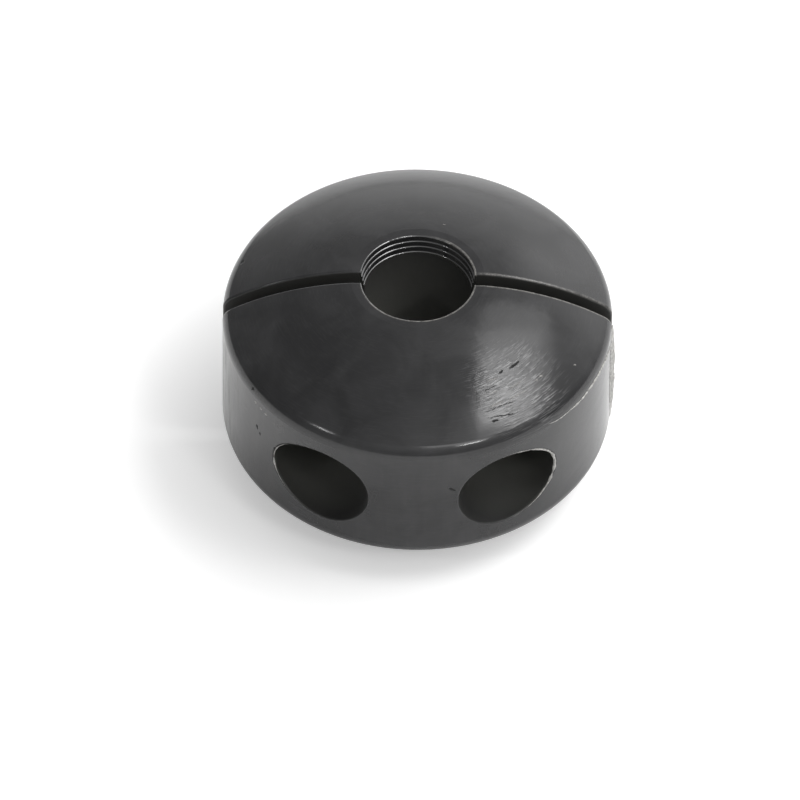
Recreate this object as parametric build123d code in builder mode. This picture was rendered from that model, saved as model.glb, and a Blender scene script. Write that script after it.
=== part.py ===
from build123d import *
from math import cos, radians, sin, sqrt
import os

os.makedirs("parts", exist_ok=True)

# Hose stop: two equal rubber halves, drawn together round a hose by two screws.
# +Z runs along the hose, the halves part at Y = 0 and the screws lie along Y.
# The origin is on the hose's centre line, level with the land that the stop rests on.

# ---- Driving dimensions (mm, degrees) ---------------------------------------------

# Rubber body
body_diameter = 70.0
body_height = 43.0            # from the lower land to the upper land
parting_gap = 2.4             # left between the halves when the hose is gripped
dome_radius = 45.5            # both ends, seen in section
dome_start_angle = 5.0        # slope at which the dome leaves the flat land
shoulder_radius = 3.3         # rounds the dome into the side band
parting_edge_radius = 0.4     # rounds the rim of the parting faces

# Hose bore
grip_diameter = 19.2          # pinches a 20 mm hose
mouth_steps = 4               # steps in which the mouth widens
mouth_step = 0.2              # by which each of them widens the bore, each side
mouth_step_radius = 0.25      # rounds each step over
mouth_step_pitch = 1.15       # from the top of one step to the top of the next
land_width = 1.6              # flat ring round the mouth

# Screw pockets
screw_web = 3.6               # rubber between the grip and a screw hole
clamped_thickness = 10.8      # rubber between a washer and the parting face
pocket_diameter = 16.8        # lets a 10 mm socket in
pocket_edge_radius = 0.35     # rounds the rim where a pocket leaves the side band
screw_clearance = 0.3         # all round the screw, in the rubber

# Fasteners, M6
screw_diameter = 6.0
hexagon_width = 10.0          # across flats, head and nut
hexagon_face_diameter = 9.5   # where the corner chamfers leave the flat end
hexagon_chamfer_angle = 30.0
head_height = 4.0
nut_height = 5.0
nut_clearance = 0.05          # all round the screw, in place of the thread
nut_countersink = 0.4
washer_diameter = 12.0
washer_thickness = 1.6
washer_clearance = 0.2        # all round the screw
washer_edge_radius = 0.2
thread_past_nut = 2.8
screw_tip_chamfer = 0.8

# ---- Derived sizes ----------------------------------------------------------------

body_radius = body_diameter / 2
mid_height = body_height / 2
grip_radius = grip_diameter / 2
rim_radius = grip_radius + mouth_steps * mouth_step
step_rise = sqrt(mouth_step_radius**2 - (mouth_step_radius - mouth_step) ** 2)
land_outer_radius = rim_radius + land_width

# In section, the dome is an arc that starts at the land's outer edge, and the shoulder
# is a smaller arc inside it, tangent to the dome and to the side band.
dome_centre_x = land_outer_radius - dome_radius * sin(radians(dome_start_angle))
dome_centre_z = mid_height - dome_radius * cos(radians(dome_start_angle))
centre_spread = dome_radius - shoulder_radius
centre_run = body_radius - shoulder_radius - dome_centre_x
centre_rise = sqrt(centre_spread**2 - centre_run**2)
shoulder_centre_z = dome_centre_z + centre_rise
tangent_x = dome_centre_x + dome_radius * centre_run / centre_spread
tangent_z = dome_centre_z + dome_radius * centre_rise / centre_spread

parting_face_y = parting_gap / 2
washer_seat_y = parting_face_y + clamped_thickness
hexagon_seat_y = washer_seat_y + washer_thickness
screw_tip_y = hexagon_seat_y + nut_height + thread_past_nut
screw_radius = screw_diameter / 2
screw_hole_radius = screw_radius + screw_clearance
screw_offset = grip_radius + screw_web + screw_hole_radius

# Both planes lie in the parting plane at mid height, one facing the front (-Y).
front_plane = Plane(origin=(0, 0, mid_height), x_dir=(1, 0, 0), z_dir=(0, -1, 0))
rear_plane = Plane(origin=(0, 0, mid_height), x_dir=(-1, 0, 0), z_dir=(0, 1, 0))


# ---- Rubber halves ----------------------------------------------------------------

with BuildPart() as front_half:
    # Section through one wall of the body, its upper half drawn and then mirrored.
    with BuildSketch(front_plane):
        with BuildLine():
            side_band = Line((body_radius, 0), (body_radius, shoulder_centre_z))
            shoulder = TangentArc(
                side_band @ 1, (tangent_x, tangent_z), tangent=side_band % 1
            )
            dome = TangentArc(
                shoulder @ 1, (land_outer_radius, mid_height), tangent=shoulder % 1
            )
            land = Line(dome @ 1, (grip_radius, mid_height))
            Line(land @ 1, (grip_radius, 0))
            mirror(about=Plane.XZ)
        make_face()
    revolve(axis=Axis.Z)
    split(bisect_by=front_plane.offset(parting_face_y), keep=Keep.TOP)
    parting_faces = front_half.faces().group_by(Axis.Y)[-1]
    fillet(parting_faces.edges(), radius=parting_edge_radius)
    # The mouths are turned out in steps, each an upright wall rounded over at its top.
    with BuildSketch(front_plane):
        with BuildLine():
            step_top = Vector(rim_radius, mid_height)
            Polyline((0, step_top.Y + 1), (rim_radius, step_top.Y + 1), step_top)
            for _ in range(mouth_steps):
                arc_foot = step_top - Vector(mouth_step, step_rise)
                TangentArc(arc_foot, step_top, tangent=(0, 1))
                step_top -= Vector(mouth_step, mouth_step_pitch)
                Line(arc_foot, step_top)
            Polyline(step_top, (0, step_top.Y), (0, mid_height + 1))
        make_face()
        mirror(about=Plane.XZ)
    revolve(axis=Axis.Z, mode=Mode.SUBTRACT)
    # Round pockets for the heads and washers, and the holes for the screws behind them.
    with Locations(front_plane.offset(body_radius)):
        with GridLocations(2 * screw_offset, 1, 2, 1):
            CounterBoreHole(
                radius=screw_hole_radius,
                counter_bore_radius=pocket_diameter / 2,
                counter_bore_depth=body_radius - washer_seat_y,
            )
    pocket_rims = front_half.edges(Select.LAST).filter_by_position(
        Axis.Y, -body_radius, -hexagon_seat_y
    )
    fillet(pocket_rims, radius=pocket_edge_radius)
front_half.part.label = "front_half"

# The rear half is a second piece from the same mould, turned round the hose.
with BuildPart() as rear_half:
    add(front_half.part, rotation=(0, 0, 180))
rear_half.part.label = "rear_half"


# ---- Fasteners --------------------------------------------------------------------


def stand_hexagons(seat, height):
    """Stands a hexagon on this plane at each screw."""
    with BuildSketch(seat) as hexagons:
        with GridLocations(2 * screw_offset, 1, 2, 1):
            RegularPolygon(hexagon_width / 2, 6, major_radius=False)
    extrude(hexagons.sketch, amount=height)


def chamfer_corners(end_face, height):
    """Turns down the hexagons' corners at this end face, as on a bolt head."""
    with BuildSketch(end_face) as end_circles:
        with GridLocations(2 * screw_offset, 1, 2, 1):
            Circle(hexagon_face_diameter / 2)
    cone_taper = hexagon_chamfer_angle - 90
    extrude(end_circles.sketch, amount=-height, taper=cone_taper, mode=Mode.INTERSECT)


with BuildPart() as clamp_screws:
    head_seat = front_plane.offset(hexagon_seat_y)
    stand_hexagons(head_seat, head_height)
    chamfer_corners(head_seat.offset(head_height), head_height)
    with BuildSketch(head_seat):
        with GridLocations(2 * screw_offset, 1, 2, 1):
            Circle(screw_radius)
    extrude(amount=-(hexagon_seat_y + screw_tip_y))
    tip_edges = clamp_screws.edges().group_by(Axis.Y)[-1]
    chamfer(tip_edges, length=screw_tip_chamfer)
clamp_screws.part.label = "clamp_screws"

with BuildPart() as hex_nuts:
    nut_seat = rear_plane.offset(hexagon_seat_y)
    stand_hexagons(nut_seat, nut_height)
    chamfer_corners(nut_seat.offset(nut_height), nut_height)
    chamfer_corners(-nut_seat, nut_height)
    with Locations(nut_seat.offset(nut_height)):
        with GridLocations(2 * screw_offset, 1, 2, 1):
            Hole(screw_radius + nut_clearance)
    hole_edges = hex_nuts.edges(Select.LAST).filter_by(GeomType.CIRCLE)
    chamfer(hole_edges, length=nut_countersink)
hex_nuts.part.label = "hex_nuts"

with BuildPart() as flat_washers:
    for seat in (front_plane.offset(washer_seat_y), rear_plane.offset(washer_seat_y)):
        with BuildSketch(seat):
            with GridLocations(2 * screw_offset, 1, 2, 1):
                Circle(washer_diameter / 2)
                Circle(screw_radius + washer_clearance, mode=Mode.SUBTRACT)
        extrude(amount=washer_thickness)
    rims = flat_washers.edges().filter_by(GeomType.CIRCLE).group_by(SortBy.RADIUS)[-1]
    fillet(rims, radius=washer_edge_radius)
flat_washers.part.label = "flat_washers"

for piece in (front_half, rear_half, clamp_screws, hex_nuts, flat_washers):
    export_step(piece.part, f"parts/{piece.part.label}.step")
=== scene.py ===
# %% [markdown]
# # A hose stopper in black moulded rubber
# The object is a ball stop for a hose reel: two rubber halves, drawn together over the hose by
# two screws with hexagon heads, washers and nuts.  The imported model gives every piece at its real
# size, in metres, with its lowest point on the floor.  This lesson gives those pieces their real
# finishes, adds the small forms that belong to a finish, and lights them as in a small studio.

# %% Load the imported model
import math

import bmesh
import bpy
from mathutils import Matrix, Quaternion, Vector, noise
from mathutils.bvhtree import BVHTree


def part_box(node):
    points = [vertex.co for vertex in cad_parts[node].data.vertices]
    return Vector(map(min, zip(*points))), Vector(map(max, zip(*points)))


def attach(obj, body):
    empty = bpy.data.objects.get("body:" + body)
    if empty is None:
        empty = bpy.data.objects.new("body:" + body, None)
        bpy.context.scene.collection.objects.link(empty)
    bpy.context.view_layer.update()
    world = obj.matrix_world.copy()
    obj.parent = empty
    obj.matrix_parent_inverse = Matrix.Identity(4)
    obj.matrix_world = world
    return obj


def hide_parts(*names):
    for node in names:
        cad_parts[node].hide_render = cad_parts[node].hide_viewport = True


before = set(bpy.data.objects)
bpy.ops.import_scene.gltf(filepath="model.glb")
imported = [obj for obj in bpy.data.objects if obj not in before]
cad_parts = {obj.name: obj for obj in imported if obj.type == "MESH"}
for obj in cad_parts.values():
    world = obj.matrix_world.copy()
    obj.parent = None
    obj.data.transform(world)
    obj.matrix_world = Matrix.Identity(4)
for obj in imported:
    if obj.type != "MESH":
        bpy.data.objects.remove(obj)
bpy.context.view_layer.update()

# %% [markdown]
# ## Sizes that the dressing needs
# Every place on the object is worked out from the boxes of its nodes, so that the finish follows
# the model when a size changes.  The stopper stands with its hose bore upright, so the axis of
# the body is the Z axis.  The gap between the halves lies along X, and the screws along Y.  The
# heads of the screws have two corners at their sides, so the axis of a screw lies half a hexagon,
# measured over its corners, inside the box of the screws.

# %% Measure the body
MM = 0.001
HEXAGON_WIDTH = 10 * MM

front_low, front_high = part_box("front_half")
body_radius = -front_low.y
body_height = front_high.z
parting_gap = -2 * front_high.y
mid_height = body_height / 2
screws_low, screws_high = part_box("clamp_screws")
screw_offset = (screws_high.x - screws_low.x) / 2 - HEXAGON_WIDTH / math.sqrt(3)
body_centre = Vector((0, 0, mid_height))
print("body", round(body_radius / MM, 2), "mm radius,", round(body_height / MM, 2), "mm high")


def direction(azimuth, elevation):
    """A unit vector: azimuth 0 points to the front and 90 to the right, both in degrees."""
    turn, rise = math.radians(azimuth), math.radians(elevation)
    return Vector((
        math.sin(turn) * math.cos(rise), -math.cos(turn) * math.cos(rise), math.sin(rise),
    ))

# %% [markdown]
# ## The camera
# A long lens far away keeps the ellipses of the bore and the pockets nearly as round as they are
# in a drawing.  The camera stands in front of the object, a touch to its right, and looks down on
# it at about 48 degrees.  It aims a little to the left of the body and below it, and it is rolled
# by less than a degree, as a camera that is held by hand.

# %% Place the camera
CAMERA_DISTANCE = 2.94
CAMERA_AZIMUTH, CAMERA_ELEVATION, CAMERA_ROLL = 0.515, 47.855, 0.693
AIM_LEFT, AIM_DOWN = 2.93 * MM, 7.46 * MM
LENS_LENGTH, SENSOR_WIDTH = 735, 36  # in mm, as a lens is marked
NEAREST_SEEN, FARTHEST_SEEN = 0.1, 20

towards_camera = direction(CAMERA_AZIMUTH, CAMERA_ELEVATION)
camera_right = Vector((0, 0, 1)).cross(towards_camera).normalized()
camera_up = towards_camera.cross(camera_right)
aim = body_centre - camera_right * AIM_LEFT - camera_up * AIM_DOWN

camera = bpy.data.objects.new("camera", bpy.data.cameras.new("camera"))
bpy.context.scene.collection.objects.link(camera)
camera.data.lens = LENS_LENGTH
camera.data.sensor_width = SENSOR_WIDTH
camera.data.clip_start, camera.data.clip_end = NEAREST_SEEN, FARTHEST_SEEN
camera.location = body_centre + towards_camera * CAMERA_DISTANCE
camera.rotation_mode = "QUATERNION"
camera.rotation_quaternion = (
    (aim - camera.location).to_track_quat("-Z", "Y")
    @ Quaternion((0, 0, 1), math.radians(CAMERA_ROLL))
)
bpy.context.scene.camera = camera
bpy.context.scene.view_settings.view_transform = "Standard"
print("camera", CAMERA_DISTANCE, "m away, looking down at", round(CAMERA_ELEVATION, 1), "degrees")

# %% [markdown]
# ## Two helpers for materials
# Colours are written as they look on a screen, in hex, and a shader wants them linear.  The
# second helper adds a node with its settings and its links in one call, because a material is
# easier to read as a list of what feeds what.  An input that starts with an underscore is named
# by its number, which maths nodes need because their inputs share one name.

# %% Colour and node helpers
def linear_colour(hex_code):
    """The linear colour, with alpha, of an sRGB hex code."""
    channels = [int(hex_code[i:i + 2], 16) / 255 for i in (1, 3, 5)]
    return [c / 12.92 if c <= 0.04045 else ((c + 0.055) / 1.055) ** 2.4 for c in channels] + [1]


def add_node(tree, kind, settings=None, **inputs):
    """Adds a node and returns it.  Inputs are values, or sockets to link from."""
    node = tree.nodes.new(kind)
    for name, value in (settings or {}).items():
        setattr(node, name, value)
    for name, value in inputs.items():
        key = int(name[1:]) if name[0] == "_" else name.replace("_", " ")
        if isinstance(value, bpy.types.NodeSocket):
            tree.links.new(value, node.inputs[key])
        else:
            node.inputs[key].default_value = value
    return node


def new_material(name):
    """An empty node material and its tree."""
    material = bpy.data.materials.new(name)
    material.use_nodes = True
    material.node_tree.nodes.clear()
    return material, material.node_tree

# %% [markdown]
# ## The table
# Black rubber has hardly any colour of its own: what the eye reads as its form is the room that
# its satin skin reflects.  The lower half of that room is the white table top.  It is matt, so it
# takes the shadow of the object, and a weak glow for what looks at it directly keeps it white.
# Reflections see that glow only away from the body, and the place that they see dark lies a
# little in front of its middle.  So the undercut of the body stays dark.

# %% White table top
TABLE_WHITE = "#F2F2F2"
TABLE_RADIUS = 8.0
TABLE_GLOW = 0.33
SHADE_CENTRE = Vector((0.0, -22 * MM, 0.0))
SHADE_REACH = 1.4 * body_radius


def white_table():
    """A round table top, far wider than the view, in matt white laminate."""
    mesh = bpy.data.meshes.new("table_top")
    shape = bmesh.new()
    bmesh.ops.create_circle(shape, cap_ends=True, radius=TABLE_RADIUS, segments=96)
    shape.to_mesh(mesh)
    shape.free()
    table = bpy.data.objects.new("table_top", mesh)
    bpy.context.scene.collection.objects.link(table)
    material, tree = new_material("matt white laminate")
    ray = add_node(tree, "ShaderNodeLightPath")
    reflected = add_node(
        tree, "ShaderNodeMath", {"operation": "MAXIMUM"},
        _0=ray.outputs["Is Glossy Ray"], _1=ray.outputs["Is Transmission Ray"],
    )
    place = add_node(tree, "ShaderNodeTexCoord").outputs["Object"]
    distance = add_node(
        tree, "ShaderNodeVectorMath", {"operation": "DISTANCE"}, _0=place, _1=SHADE_CENTRE,
    ).outputs["Value"]
    clear_of_body = add_node(
        tree, "ShaderNodeMapRange", Value=distance,
        From_Min=body_radius, From_Max=SHADE_REACH, To_Min=0.0, To_Max=1.0,
    )
    reflected = add_node(
        tree, "ShaderNodeMath", {"operation": "MULTIPLY"},
        _0=reflected.outputs[0], _1=clear_of_body.outputs["Result"],
    )
    seen = add_node(
        tree, "ShaderNodeMath", {"operation": "MAXIMUM"},
        _0=ray.outputs["Is Camera Ray"], _1=reflected.outputs[0],
    )
    glow = add_node(
        tree, "ShaderNodeMath", {"operation": "MULTIPLY"}, _0=seen.outputs[0], _1=TABLE_GLOW,
    )
    laminate = add_node(tree, "ShaderNodeBsdfDiffuse", Color=linear_colour(TABLE_WHITE))
    lift = add_node(tree, "ShaderNodeEmission", Strength=glow.outputs[0])
    both = add_node(tree, "ShaderNodeAddShader", _0=laminate.outputs[0], _1=lift.outputs[0])
    add_node(tree, "ShaderNodeOutputMaterial", Surface=both.outputs[0])
    mesh.materials.append(material)
    print("table", 2 * TABLE_RADIUS, "m across")


white_table()

# %% [markdown]
# ## The room
# The upper half of the room is drawn in the world as a few soft glows on dim walls: a bright
# wall behind the object, pale walls to its right, and a light ceiling over the camera.  The upper
# left stays dark, and that is why the left of the dome is the darkest part of the rubber.  A glow
# falls off round its direction as a bell curve, and its width is the angle at half strength.

# %% Walls and ceiling of the studio
DIM_WALLS = 0.2
ROOM_GLOWS = {
    # name: (azimuth, elevation, half width in degrees, strength where white paper is 1)
    "wall behind": (180, 8, 20, 1.25),
    "wall behind, to the right": (135, 12, 22, 1.6),
    "low wall, front right": (40, 5, 22, 0.45),
    "low wall, front left": (-35, 10, 22, 0.35),
    "low wall, back left": (-130, 12, 30, 0.2),
    "ceiling over the camera": (5, 50, 22, 0.7),
    "ceiling, front right": (45, 48, 18, 0.9),
    "ceiling, right": (85, 50, 20, 0.6),
    "ceiling, back right": (140, 60, 20, 0.7),
    "high wall, back right": (152, 28, 9, 1.1),
    "high wall, right": (128, 27, 7, 0.6),
    "high wall behind": (180, 30, 10, 0.35),
}


def studio_room():
    """The world: every glow added to the dim walls."""
    world = bpy.data.worlds.new("studio")
    bpy.context.scene.world = world
    world.use_nodes = True
    tree = world.node_tree
    tree.nodes.clear()
    outward = add_node(tree, "ShaderNodeTexCoord").outputs["Generated"]
    total = DIM_WALLS
    for azimuth, elevation, half_width, strength in ROOM_GLOWS.values():
        sharpness = math.log(2) / (1 - math.cos(math.radians(half_width)))
        cosine = add_node(
            tree, "ShaderNodeVectorMath", {"operation": "DOT_PRODUCT"},
            _0=outward, _1=direction(azimuth, elevation),
        )
        exponent = add_node(
            tree, "ShaderNodeMath", {"operation": "MULTIPLY_ADD"},
            _0=cosine.outputs["Value"], _1=sharpness, _2=-sharpness,
        )
        bell = add_node(
            tree, "ShaderNodeMath", {"operation": "EXPONENT"}, _0=exponent.outputs[0],
        )
        total = add_node(
            tree, "ShaderNodeMath", {"operation": "MULTIPLY_ADD"},
            _0=bell.outputs[0], _1=strength, _2=total,
        ).outputs[0]
    background = add_node(tree, "ShaderNodeBackground", Strength=total)
    add_node(tree, "ShaderNodeOutputWorld", Surface=background.outputs[0])
    print("room glows", len(ROOM_GLOWS))


studio_room()

# %% [markdown]
# ## The key light
# The one strong light is a soft box overhead, to the right.  A real soft box is brightest over
# its tube, so it is made of a few boxes one inside the other, which share their left edge.  That
# edge is what draws the straight left side of the highlight on the dome.  Each inner box hangs
# 10 mm lower than the one round it, because lamps that lie in one plane hide each other.  A
# narrow strip hangs apart from them, towards the front, and shines on the shoulder.

# %% Soft boxes
SOFT_BOX_HEIGHT = 1.0
SOFT_BOX_STEP = 0.01
SOFT_BOX_TURN = math.radians(10.8)
SOFT_BOX_EDGE = Vector((0.325, 0, SOFT_BOX_HEIGHT))
NESTED_BOXES = {
    # name: (width, front end, back end, radiance where white paper is 1)
    "soft_box_cloth": (0.60, -0.46, 0.72, 1.2),
    "soft_box_wide_glow": (0.46, -0.37, 0.48, 1.2),
    "soft_box_glow": (0.42, -0.30, 0.30, 2.0),
    "soft_box_tube": (0.36, -0.26, 0.10, 2.2),
    "soft_box_lamp": (0.24, -0.24, 0.00, 1.8),
}
STRIP_PLACE = (0.36, -0.66, SOFT_BOX_HEIGHT)
STRIP_WIDTH, STRIP_DEPTH, STRIP_RADIANCE = 0.6, 0.2, 1.9


def soft_box(name, centre, width, depth, radiance, turn):
    """A rectangular lamp that faces down, with the given radiance over its face."""
    data = bpy.data.lights.new(name, "AREA")
    data.shape = "RECTANGLE"
    data.size, data.size_y = width, depth
    data.energy = radiance * math.pi * width * depth
    lamp = bpy.data.objects.new(name, data)
    bpy.context.scene.collection.objects.link(lamp)
    lamp.location = centre
    lamp.rotation_euler.z = turn


def key_light():
    """The nested boxes, placed from the edge that they share."""
    across = Vector((math.cos(SOFT_BOX_TURN), math.sin(SOFT_BOX_TURN), 0))
    along = Vector((-math.sin(SOFT_BOX_TURN), math.cos(SOFT_BOX_TURN), 0))
    for step, (name, (width, front, back, radiance)) in enumerate(NESTED_BOXES.items()):
        centre = SOFT_BOX_EDGE + across * width / 2 + along * (front + back) / 2
        centre.z -= SOFT_BOX_STEP * step
        soft_box(name, centre, width, back - front, radiance, SOFT_BOX_TURN)


key_light()
soft_box("front_strip", STRIP_PLACE, STRIP_WIDTH, STRIP_DEPTH, STRIP_RADIANCE, 0)
print("soft boxes", len(NESTED_BOXES), "and a strip,", SOFT_BOX_HEIGHT, "m up")

# %% [markdown]
# ## Two small bare lamps
# Two short bright glints sit on the rounded shoulder, one on each side of the front.  Only small
# bright lamps draw such glints, and they are too small to light the body to speak of.

# %% Glint lamps
GLINT_LAMPS = {
    # name: (place across, place along, width), in metres
    "glint_lamp_left": (-0.87, -0.64, 0.17),
    "glint_lamp_right": (0.52, -0.78, 0.22),
}
GLINT_LAMP_HEIGHT, GLINT_LAMP_DEPTH, GLINT_LAMP_RADIANCE = 0.95, 0.1, 25

for name, (across, along, width) in GLINT_LAMPS.items():
    place = (across, along, GLINT_LAMP_HEIGHT)
    turn = math.atan2(across, -along)
    soft_box(name, place, width, GLINT_LAMP_DEPTH, GLINT_LAMP_RADIANCE, turn)
    print(name, "turned by", round(math.degrees(turn)), "degrees")

# %% [markdown]
# ## Moulded rubber
# A stop like this is moulded in black nitrile rubber, which keeps oil and water out of the grip.
# Carbon black makes the compound nearly black through and through, and the polished mould leaves
# a satin skin on it, so the base colour is dark and neutral and the roughness is low.
#
# A single grey would look like plastic.  What makes it rubber is what use has done to the skin:
# fine streaks that run round the dome, where the reel has rubbed it, a few cuts, a dull finish in
# every recess, and pale worn edges.  Part of the colour is painted light and shade: the recesses
# are painted lighter against their shade, and the pale scuffs, edges and some specks are partly
# painted highlights.  All of these follow the shape, so the material first works out where on the
# body a point lies, in millimetres.

# %% Where on the body a point lies
def body_coordinates(tree):
    """Sockets for a point's place in mm, and for its distances from the axis and the middle."""
    metres = add_node(tree, "ShaderNodeTexCoord").outputs["Object"]
    place = add_node(
        tree, "ShaderNodeVectorMath", {"operation": "SCALE"}, _0=metres, Scale=1 / MM,
    ).outputs["Vector"]
    split = add_node(tree, "ShaderNodeSeparateXYZ", Vector=place)
    level = add_node(
        tree, "ShaderNodeVectorMath", {"operation": "MULTIPLY"}, _0=place, _1=(1, 1, 0),
    ).outputs["Vector"]
    radius = add_node(
        tree, "ShaderNodeVectorMath", {"operation": "LENGTH"}, _0=level,
    ).outputs["Value"]
    outward = add_node(
        tree, "ShaderNodeVectorMath", {"operation": "NORMALIZE"}, _0=level,
    ).outputs["Vector"]
    from_middle = add_node(
        tree, "ShaderNodeMath", {"operation": "SUBTRACT"},
        _0=split.outputs["Z"], _1=mid_height / MM,
    ).outputs[0]
    from_middle = add_node(
        tree, "ShaderNodeMath", {"operation": "ABSOLUTE"}, _0=from_middle,
    ).outputs[0]
    from_parting = add_node(
        tree, "ShaderNodeMath", {"operation": "ABSOLUTE"}, _0=split.outputs["Y"],
    ).outputs[0]
    return {
        "place": place, "x": split.outputs["X"], "y": split.outputs["Y"],
        "radius": radius, "outward": outward,
        "from_middle": from_middle, "from_parting": from_parting,
    }

# %% [markdown]
# ## Rubbing streaks
# The rubbing streaks run round the axis.  A noise that is short across the profile and long round
# the axis draws them without a seam, because it reads the direction outwards as a vector and not
# as an angle.  They are real grooves, a few hundredths of a millimetre deep, so they go into the
# bump.  They are deepest in one rubbed place on the right of the front dome, where the stopper
# knocks against the guide of the reel, and there they also dull and pale the skin.  That place
# lies in the highlight, so the pale is partly a painted highlight: bright streaks in it.

# %% Streaks round the axis
STREAK_WIDTH, STREAK_LENGTH, STREAK_DEPTH = 0.30, 2.4, 0.07
MEAN_RADIUS = 25.0  # at which a streak has that length
PATCH_SIZE = 4.0
RUBBED_PLACE = Vector((18.0, -21.5, 38.5))
RUBBED_HEART, RUBBED_REACH = 4.0, 11.0


def rubbing_streaks(tree, at):
    """Two sockets: the fine streaks as a noise round 0.5, and how strong they are."""
    profile = add_node(
        tree, "ShaderNodeMath", {"operation": "SUBTRACT"},
        _0=at["radius"], _1=at["from_middle"],
    ).outputs[0]
    across = add_node(
        tree, "ShaderNodeMath", {"operation": "DIVIDE"}, _0=profile, _1=STREAK_WIDTH,
    ).outputs[0]
    across = add_node(tree, "ShaderNodeCombineXYZ", Z=across).outputs[0]
    around = add_node(
        tree, "ShaderNodeVectorMath", {"operation": "MULTIPLY_ADD"},
        _0=at["outward"], _1=(MEAN_RADIUS / STREAK_LENGTH,) * 3, _2=across,
    ).outputs["Vector"]
    streaks = add_node(
        tree, "ShaderNodeTexNoise", Vector=around, Scale=1.0, Detail=2.0, Roughness=0.6,
    ).outputs["Fac"]
    patches = add_node(
        tree, "ShaderNodeTexNoise", Vector=at["place"], Scale=1 / PATCH_SIZE, Detail=2.0,
    ).outputs["Fac"]
    patches = add_node(
        tree, "ShaderNodeMapRange", Value=patches,
        From_Min=0.35, From_Max=0.6, To_Min=0.35, To_Max=1.0,
    ).outputs["Result"]
    from_rubbed = add_node(
        tree, "ShaderNodeVectorMath", {"operation": "DISTANCE"},
        _0=at["place"], _1=RUBBED_PLACE,
    ).outputs["Value"]
    rubbed = add_node(
        tree, "ShaderNodeMapRange", {"interpolation_type": "SMOOTHSTEP"}, Value=from_rubbed,
        From_Min=RUBBED_HEART, From_Max=RUBBED_REACH, To_Min=1.0, To_Max=0.02,
    ).outputs["Result"]
    rubbed = add_node(
        tree, "ShaderNodeMath", {"operation": "MULTIPLY"}, _0=rubbed, _1=patches,
    ).outputs[0]
    return streaks, rubbed

# %% [markdown]
# ## Cuts, specks and painted marks
# A few cuts and pressed-in specks stand alone, so they are placed one by one: each is the line
# between two points, with a width.  Some pale lines on the rubbed place are painted highlights,
# bright streaks in the highlight there, and one dark mark at the upper left corner of the left
# pocket is painted shade.  A Mapping node of the texture kind moves a point into the frame of the
# mark, where the mark is the unit ball, and a little noise in the place tears its outline.  The
# nearest mark wins, so all of them need only one mask.

# %% Marks, listed one by one
DARK_MARKS = [
    # (start, end, width), in mm
    ((16.8, -18.5, 39.9), (18.4, -16.8, 40.0), 0.40),
    ((15.0, -19.8, 40.0), (15.5, -19.1, 40.0), 0.38),
    ((14.0, -28.3, 36.6), (14.8, -28.0, 36.6), 0.42),
    ((20.6, -19.6, 38.6), (21.0, -19.4, 38.6), 0.30),
    ((18.6, -22.8, 38.2), (21.6, -20.4, 38.1), 0.16),
    ((12.9, -28.0, 37.0), (18.2, -26.2, 36.6), 0.16),
    ((-29.2, -19.1, 33.9), (-28.8, -19.3, 33.5), 0.45),
    ((-28.3, -20.6, 25.8), (-28.1, -20.8, 25.0), 0.40),
    ((-27.8, -21.3, 24.6), (-27.6, -21.5, 24.0), 0.34),
    ((6.2, -34.4, 25.5), (7.5, -34.2, 24.3), 0.34),
    # Painted shade: this mark stands for the sharp upper left corner of the left pocket, dark
    # inside.
    ((-25.1, -24.4, 23.9), (-24.5, -25.0, 23.7), 0.50),
    ((-31.9, 9.6, 35.9), (-31.5, 10.0, 35.3), 0.60),
    ((12.6, -27.1, 37.57), (17.6, -24.2, 37.57), 0.17),
    ((12.1, -23.7, 39.21), (14.4, -22.1, 39.3), 0.16),
]
PALE_MARKS_AND_HIGHLIGHTS = [
    # (start, end, width), in mm
    ((22.2, -18.6, 38.0), (22.5, -18.4, 38.0), 0.34),
    ((21.4, -19.6, 38.0), (21.7, -19.4, 38.0), 0.26),
    ((28.2, -14.4, 36.5), (28.6, -14.2, 36.5), 0.26),
    ((-13.5, -13.2, 41.2), (-12.6, -13.7, 41.2), 0.22),
    ((4.1, 13.6, 42.6), (5.0, 13.3, 42.6), 0.20),
    ((-22.5, 6.4, 39.9), (-22.0, 6.7, 39.9), 0.22),
    # Painted highlights: the thin pale lines on the rubbed place, here and in the last two rows.
    ((13.3, -26.1, 37.9), (15.9, -24.5, 37.95), 0.16),
    ((16.4, -24.4, 37.84), (20.1, -21.6, 37.79), 0.15),
    ((13.0, -24.0, 38.89), (14.9, -22.9, 38.89), 0.15),
    ((-28.7, -20.0, 31.5), (-28.4, -20.5, 31.3), 0.30),
    ((-27.8, -21.3, 31.2), (-27.4, -21.8, 31.1), 0.26),
    ((-26.8, -22.5, 31.0), (-26.5, -22.9, 30.9), 0.30),
    ((-34.0, -1.6, 34.9), (-34.8, -1.6, 33.4), 0.30),
    # Painted highlights, as above.
    ((12.6, -21.8, 39.81), (14.9, -20.5, 39.73), 0.16),
    ((16.4, -22.6, 38.61), (19.3, -20.0, 38.66), 0.14),
]
FAR_FROM_MARKS = 9.0  # counted in the size of a mark


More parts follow.
